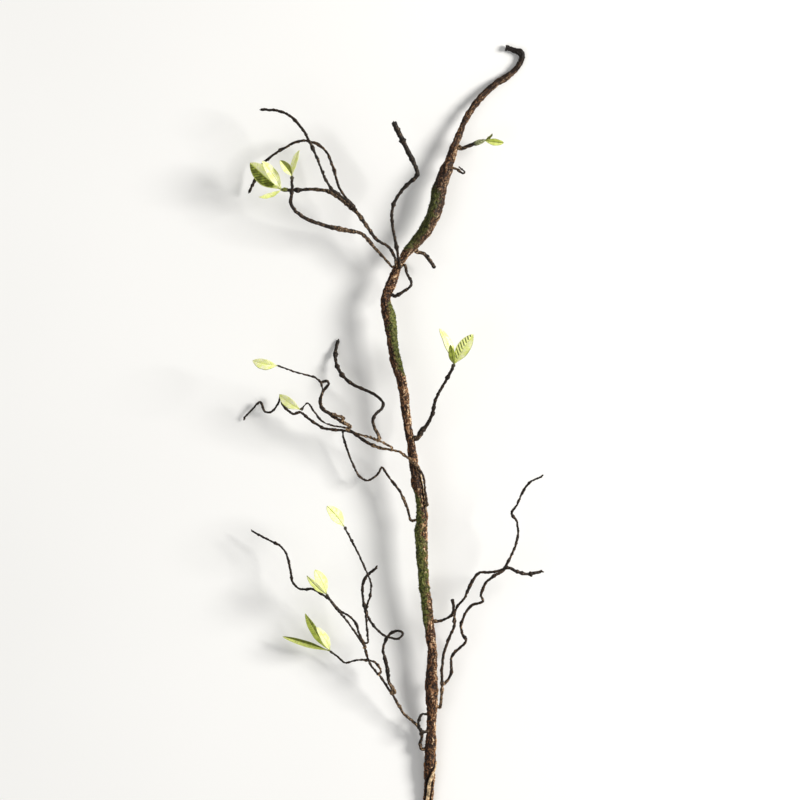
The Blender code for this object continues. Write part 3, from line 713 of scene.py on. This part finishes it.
def leafMaterial(veinTone):
    # near white, through yellow-green, to olive by tone, with darker stripes in the grooves as painted shade
    made, tree, shader = newMaterial("leafGreen", 0.5, 0.35)
    spot = place(tree)
    cloud = noise(tree, spot, 170.0, 3.0, 0.6)
    # the pale end stands partly for painted light, the olive end partly for painted shade
    tone = calc(tree, "ADD", attribute(tree, "tone"),
                calc(tree, "MULTIPLY", calc(tree, "SUBTRACT", cloud, 0.5), 1.1))
    pale = blend(tree, ease(tree, cloud, 0.35, 0.65), (0.84, 0.92, 0.30), (0.96, 0.975, 0.62))
    colour = blend(tree, ease(tree, tone, 0.05, 0.55), pale, (0.46, 0.52, 0.09))
    colour = blend(tree, ease(tree, tone, 0.50, 1.0), colour, (0.115, 0.125, 0.011))
    # painted shade: dark stripes in the grooves between the ribs
    stripe = calc(tree, "MULTIPLY", ease(tree, attribute(tree, "rib"), 0.85, 0.40),
                  attribute(tree, "striped"))
    colour = blend(tree, stripe, colour, (0.04, 0.048, 0.005))
    rim = ease(tree, calc(tree, "ABSOLUTE", attribute(tree, "across")), 0.84, 0.96)
    colour = blend(tree, calc(tree, "MULTIPLY", rim, 0.6), colour, (0.80, 0.83, 0.36))
    colour = blend(tree, calc(tree, "MULTIPLY", attribute(tree, "midrib"), 0.8), colour, veinTone)
    # painted shade along the leaf's edge
    colour = blend(tree, attribute(tree, "outline"), colour, (0.035, 0.036, 0.008))
    base = ease(tree, attribute(tree, "share"), 0.14, 0.02)
    colour = blend(tree, base, colour, (0.20, 0.21, 0.06))
    tree.links.new(colour, shader.inputs["Base Color"])
    shader.inputs["Subsurface Weight"].default_value = 0.5
    shader.inputs["Subsurface Radius"].default_value = (0.9, 1.0, 0.5)
    shader.inputs["Subsurface Scale"].default_value = 0.002
    bump(tree, shader, noise(tree, spot, 1400.0, 2.0, 0.6), 0.35, 0.0001)
    return made


def shootMaterial():
    made, tree, shader = newMaterial("shootGreen", 0.7, 0.2)
    spot = place(tree)
    colour = blend(tree, ease(tree, noise(tree, spot, 420.0, 3.0, 0.6), 0.35, 0.65),
                   (0.22, 0.24, 0.11), (0.50, 0.53, 0.28))
    # fresh green: paler on the ridges, darker in the grooves as painted shade
    fresh = blend(tree, ease(tree, attribute(tree, "ridge"), 0.3, 0.8),
                  (0.20, 0.22, 0.03), (0.62, 0.64, 0.20))
    colour = blend(tree, attribute(tree, "raw"), colour, fresh)
    # painted shade in the shoot's grooves
    colour = blend(tree, ease(tree, attribute(tree, "ridge"), 0.35, 0.05), colour, (0.05, 0.05, 0.02))
    colour = blend(tree, attribute(tree, "dark"), colour, (0.035, 0.025, 0.02))
    tree.links.new(colour, shader.inputs["Base Color"])
    return made


bladeTree = leafBlade()
leafPale = leafMaterial((0.72, 0.75, 0.30))
leafVeined = leafMaterial((0.045, 0.048, 0.010))
shootGreen = shootMaterial()

# tone left and right of the midrib, from pale (0) to olive (1), partly the leaf's own colour and partly
# painted light and shade, and where it starts along the leaf, how dark each side's edge and stripes of
# painted shade are, the tip's curl, the ribs' spacing in millimetres, and whether the midrib is dark
leafLooks = {
    "leaf_crown_1": {"tone": (0.55, 0.35), "edge": (0.6, 0.5), "stripes": (0.1, 0.1),
                     "curl": 0.03, "ribs": 2.6, "veined": True},
    "leaf_crown_2": {"tone": (1.1, 1.1), "edge": (0.5, 0.5), "stripes": (0.3, 0.3),
                     "curl": 0.0, "ribs": 2.6, "veined": True},
    # a pale base as painted sunlight, with painted shade from where the olive starts
    "leaf_top_left_1": {"tone": (0.85, -0.2), "starts": 0.22, "edge": (0.0, 0.0), "stripes": (0.75, 0.05),
                        "curl": 0.05, "ribs": 4.2},
    "leaf_top_left_2": {"tone": (-0.2, -0.2), "edge": (0.0, 0.1), "stripes": (0.05, 0.05),
                        "curl": 0.0, "ribs": 4.0},
    "leaf_top_left_3": {"tone": (0.3, 0.0), "edge": (0.4, 0.0), "stripes": (0.15, 0.05),
                        "curl": 0.03, "ribs": 3.0},
    "leaf_elbow_1": {"tone": (0.1, 0.9), "edge": (0.1, 0.4), "stripes": (0.0, 0.4),
                     "curl": 0.02, "ribs": 2.6},
    "leaf_elbow_2": {"tone": (-0.2, -0.2), "edge": (0.15, 0.0), "stripes": (0.0, 0.0),
                     "curl": 0.04, "ribs": 2.6},
    "leaf_mid_right_1": {"tone": (0.1, -0.1), "edge": (0.85, 0.0), "stripes": (0.05, 0.05),
                         "curl": 0.04, "ribs": 3.0},
    "leaf_mid_right_2": {"tone": (0.8, 0.6), "edge": (0.6, 0.4), "stripes": (0.5, 0.4),
                         "curl": 0.0, "ribs": 2.6, "veined": True},
    "leaf_mid_right_3": {"tone": (0.22, -0.2), "edge": (0.2, 0.6), "stripes": (0.97, 0.06),
                         "curl": 0.03, "ribs": 4.7},
    "leaf_fine_tip_1": {"tone": (-0.1, -0.2), "edge": (0.8, 0.0), "stripes": (0.1, 0.0),
                        "curl": 0.04, "ribs": 3.0},
    "leaf_mid_left_1": {"tone": (-0.1, -0.2), "edge": (0.7, 0.0), "stripes": (0.1, 0.0),
                        "curl": 0.04, "ribs": 3.0},
    "leaf_upright_1": {"tone": (0.1, 0.0), "edge": (0.1, 0.0), "stripes": (0.1, 0.0),
                       "curl": 0.03, "ribs": 3.0, "veined": True},
    "leaf_low_left_1": {"tone": (-0.1, -0.2), "edge": (0.1, 0.1), "stripes": (0.05, 0.05),
                        "curl": 0.05, "ribs": 3.0},
    "leaf_low_left_2": {"tone": (0.25, 0.1), "edge": (0.3, 0.1), "stripes": (0.15, 0.1),
                        "curl": 0.02, "ribs": 2.6, "veined": True},
    "leaf_side_1": {"tone": (0.35, 1.0), "edge": (0.0, 0.4), "stripes": (0.15, 0.4),
                    "curl": 0.02, "ribs": 3.3},
    "leaf_side_2": {"tone": (0.55, 0.8), "edge": (0.3, 0.4), "stripes": (0.3, 0.5),
                    "curl": 0.03, "ribs": 3.3},
    "leaf_side_3": {"tone": (0.1, 0.0), "edge": (0.3, 0.0), "stripes": (0.05, 0.0),
                    "curl": 0.05, "ribs": 3.0},
}
leafShape = {"stalk": 1.3 * mm, "root": 3.0 * mm, "widest": 0.5, "fold": 0.17, "arch": 0.06,
             "ribDepth": 0.45 * mm, "ribSlope": 0.85, "wave": 0.45 * mm, "thickness": 0.45 * mm}


def nodePoints(nodeName):
    bm = mergedNode(nodeName)
    spots = np.array([v.co[:] for v in bm.verts])
    bm.free()
    return spots


def leafFrame(nodeName, shootTop):
    # where a leaf starts, which way it heads and faces, and its size
    spots = nodePoints(nodeName)
    order = np.argsort(np.linalg.norm(spots - shootTop, axis=1))
    start, tip = Vector(spots[order[:6]].mean(axis=0)), Vector(spots[order[-6:]].mean(axis=0))
    heading = (tip - start).normalized()
    offsets = spots - np.array(start)
    offsets -= np.outer(offsets @ np.array(heading), np.array(heading))
    spread = np.linalg.svd(offsets - offsets.mean(axis=0))[2][0]
    facing = heading.cross(Vector(spread)).normalized()
    if facing.z < 0:
        facing.negate()
    left = facing.cross(heading)
    width = float(np.ptp(offsets @ np.array(left)))
    return Matrix((heading, left, facing)).transposed().to_4x4(), start, (tip - start).length, width


def bladePiece(name, length, width, widest, look, shape, cells):
    piece = grow(bpy.data.meshes.new(name), name, [(bladeTree, {
        "Length": length, "Width": width, "Stalk Width": shape["stalk"], "Widest At": widest,
        "Fold": shape["fold"], "Arch": shape["arch"], "Rib Spacing": look["ribs"] * mm,
        "Rib Depth": shape["ribDepth"], "Rib Slope": shape["ribSlope"], "Wave": shape["wave"],
        "Curl": look["curl"], "Tone Left": look["tone"][0], "Tone Right": look["tone"][1],
        "Tone Starts": look.get("starts", -1.0), "Edge Left": look["edge"][0], "Edge Right": look["edge"][1],
        "Stripes Left": look["stripes"][0], "Stripes Right": look["stripes"][1],
        "Cells Along": cells[0], "Cells Across": cells[1],
        "Leaf": leafVeined if look.get("veined") else leafPale})])
    shell = piece.modifiers.new("thickness", "SOLIDIFY")
    shell.thickness = shape["thickness"]
    shell.offset = 0.0
    graph = bpy.context.evaluated_depsgraph_get()
    solid = bpy.data.meshes.new_from_object(piece.evaluated_get(graph))
    piece.modifiers.clear()
    piece.data = solid
    return piece


def makeLeaf(nodeName, shootTop):
    turn, start, length, width = leafFrame(nodeName, shootTop)
    root = leafShape["root"]
    full = length + root
    widest = (leafShape["widest"] * length + root) / full
    piece = bladePiece(nodeName + "_blade", full, width, widest, leafLooks[nodeName], leafShape, (90, 41))
    heading = turn.col[0].to_3d()
    piece.data.transform(Matrix.Translation(start - heading * root) @ turn)
    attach(piece, "root")
    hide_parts(nodeName)


def twigEnd(spot):
    ends = [line[-1] for line in twigLines.values()]
    return Vector(min(ends, key=lambda end: np.linalg.norm(end - np.array(spot))))


def makeShoot(nodeName, order):
    centres, radii = tubeLine(nodeName, twigEnd)
    points, radii = smoothRun(centres, radii, 0.8 * mm)
    ahead = (points[-1] - points[0]) / np.linalg.norm(points[-1] - points[0])
    points = np.vstack([points[0] - ahead * 1.5 * mm, points, points[-1] + ahead * 0.8 * mm])
    radii = np.concatenate([[radii[0] * 0.85], radii * 1.12, [radii[-1] * 0.6]])
    share = np.linspace(0, 1, len(points))
    bare = 0.9 if np.linalg.norm(centres[-1] - centres[0]) < 4 * mm else 0.0  # stubs look like bark
    fresh = np.full(len(points), 1.0 if nodeName == "shoot_top_left" else 0.0)
    values = {"rad": radii, "raw": fresh, "dark": np.clip(0.9 - share * 3.0, bare, 1)}
    piece = grow(lineMesh(points, {**values, **noMoss(points)}), nodeName + "_sheath", [(sweep, {
        "Ring Step": 0.4 * mm, "Sides": 20, **relief(shootLook), "Phase": order * 0.21, "Buds": False,
        "Bud Spacing": 1.0, "Bud Size": 1 * mm, "Seed": 1, "Bark": shootGreen})])
    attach(piece, "root")
    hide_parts(nodeName)
    return points[-2]


shootNodes = [row["node"] for row in frame["record"]["subparts"] if row["material_slot"] == "shoot_green"]
for order, nodeName in enumerate(shootNodes):
    shootTop = makeShoot(nodeName, order)
    prefix = nodeName.replace("shoot_", "leaf_") + "_"
    for leafNode in sorted(leafLooks):
        if leafNode.startswith(prefix) and leafNode[len(prefix):].isdigit():
            makeLeaf(leafNode, shootTop)
print("leaves made:", len(leafLooks))


# floor, light and camera

lamps = {
    "key": {"spot": (3.8, 1.0, 2.8), "size": 1.8, "power": 262.0, "tint": (1.0, 0.985, 0.955)},
    "fill": {"spot": (-1.6, -0.8, 3.0), "size": 2.4, "power": 20.0, "tint": (0.95, 0.97, 1.0)},
}
studio = {"tint": (1.0, 0.995, 0.98, 1.0), "strength": 0.37}
# how high the camera is, how much it sees across, and how far it is from the middle of the twig
viewing = {"height": 8.0, "across": 1.04, "right": 0.0098, "up": 0.0416}


def makeFloor():
    bm = bmesh.new()
    bmesh.ops.create_grid(bm, x_segments=1, y_segments=1, size=6.0)
    mesh = bpy.data.meshes.new("floor")
    bm.to_mesh(mesh)
    bm.free()
    floor = bpy.data.objects.new("floor", mesh)
    scene.collection.objects.link(floor)
    floor.location.z = cadBox[0].z - 0.05 * mm
    paint, tree, shader = newMaterial("floorPaint", 0.9, 0.1)
    cloud = noise(tree, place(tree), 1.3, 2.0)
    colour = blend(tree, ease(tree, cloud, 0.3, 0.7), (0.89, 0.885, 0.87), (0.92, 0.915, 0.90))
    tree.links.new(colour, shader.inputs["Base Color"])
    mesh.materials.append(paint)


def makeLight(name):
    settings = lamps[name]
    data = bpy.data.lights.new(name, "AREA")
    data.shape = "DISK"
    data.size = settings["size"]
    data.energy = settings["power"]
    data.color = settings["tint"]
    lamp = bpy.data.objects.new(name, data)
    lamp.location = settings["spot"]
    lamp.rotation_euler = (-Vector(settings["spot"])).to_track_quat("-Z", "Y").to_euler()
    scene.collection.objects.link(lamp)


def makeCamera():
    # far off with a long lens, straight above, with the hook end at the top of the view
    data = bpy.data.cameras.new("camera")
    data.sensor_width = 36.0
    data.lens = data.sensor_width * viewing["height"] / viewing["across"]
    data.clip_end = 40.0
    camera = bpy.data.objects.new("camera", data)
    centre = (cadBox[0] + cadBox[1]) / 2
    camera.location = (centre.x + viewing["right"], centre.y + viewing["up"],
                       cadBox[0].z + viewing["height"])
    scene.collection.objects.link(camera)
    scene.camera = camera


makeFloor()
makeLight("key")
makeLight("fill")
world = bpy.data.worlds.new("studio")
world.use_nodes = True
world.node_tree.nodes["Background"].inputs["Color"].default_value = studio["tint"]
world.node_tree.nodes["Background"].inputs["Strength"].default_value = studio["strength"]
scene.world = world
scene.view_settings.view_transform = "Standard"
makeCamera()
